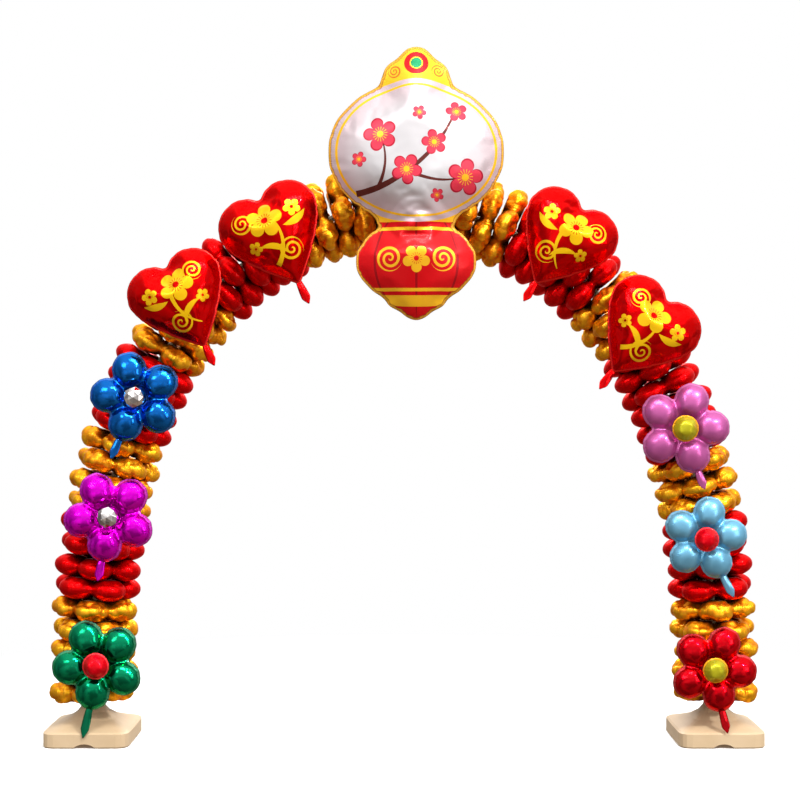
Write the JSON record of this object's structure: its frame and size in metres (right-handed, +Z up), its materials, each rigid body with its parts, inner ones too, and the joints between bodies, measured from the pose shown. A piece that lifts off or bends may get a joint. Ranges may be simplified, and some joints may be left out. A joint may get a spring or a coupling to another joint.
{
  "type": "foil balloon arch with pole stand",
  "caption": "Walk-through arch of petal-shaped foil balloons in gold and red bands, threaded on a bent pole with plastic feet, with flower, heart and medallion balloons on its front.",
  "frame": {"origin": "on the floor under the middle of the whole arch", "axes": "+X to the right seen from the front, -Y towards the front, +Z up"},
  "size_m": [2.6812, 0.5735, 2.576],
  "materials": {
    "gold_foil": "gloss",
    "red_foil": "gloss",
    "heart_foil": "gloss",
    "blue_foil": "gloss",
    "magenta_foil": "gloss",
    "green_foil": "satin",
    "pink_foil": "satin",
    "sky_foil": "satin",
    "crimson_foil": "gloss",
    "silver_foil": "gloss",
    "red_ball_foil": "satin",
    "olive_ball_foil": "satin",
    "medallion_foil": "satin",
    "foot_plastic": "matte",
    "pole": "satin"
  },
  "bodies": {
    "root": {"band_01a_gold": "gold_foil", "band_01b_gold": "gold_foil", "band_02a_red": "red_foil", "band_02b_red": "red_foil", "band_03a_gold": "gold_foil", "band_03b_gold": "gold_foil", "band_04a_red": "red_foil", "band_04b_red": "red_foil", "band_05a_gold": "gold_foil", "band_05b_gold": "gold_foil", "band_06a_red": "red_foil", "band_06b_red": "red_foil", "band_07a_gold": "gold_foil", "band_07b_gold": "gold_foil", "band_07c_gold": "gold_foil", "band_07d_gold": "gold_foil", "band_08a_red": "red_foil", "band_08b_red": "red_foil", "band_09a_gold": "gold_foil", "band_10a_red": "red_foil", "band_10b_red": "red_foil", "band_11a_gold": "gold_foil", "band_12a_red": "red_foil", "band_12b_red": "red_foil", "band_13a_gold": "gold_foil", "band_13b_gold": "gold_foil", "centre_medallion": "medallion_foil", "flower_blue": "blue_foil", "flower_crimson": "crimson_foil", "flower_green": "green_foil", "flower_magenta": "magenta_foil", "flower_pink": "pink_foil", "flower_sky": "sky_foil", "foot_left": "foot_plastic", "foot_right": "foot_plastic", "heart_left_high": "heart_foil", "heart_left_low": "heart_foil", "heart_right_high": "heart_foil", "heart_right_low": "heart_foil", "middle_blue": "silver_foil", "middle_crimson": "olive_ball_foil", "middle_green": "red_ball_foil", "middle_magenta": "silver_foil", "middle_pink": "olive_ball_foil", "middle_sky": "red_ball_foil", "pole_1": "pole", "pole_2": "pole", "pole_3": "pole", "pole_4": "pole", "pole_5": "pole", "pole_6": "pole"}
  },
  "joints": []
}
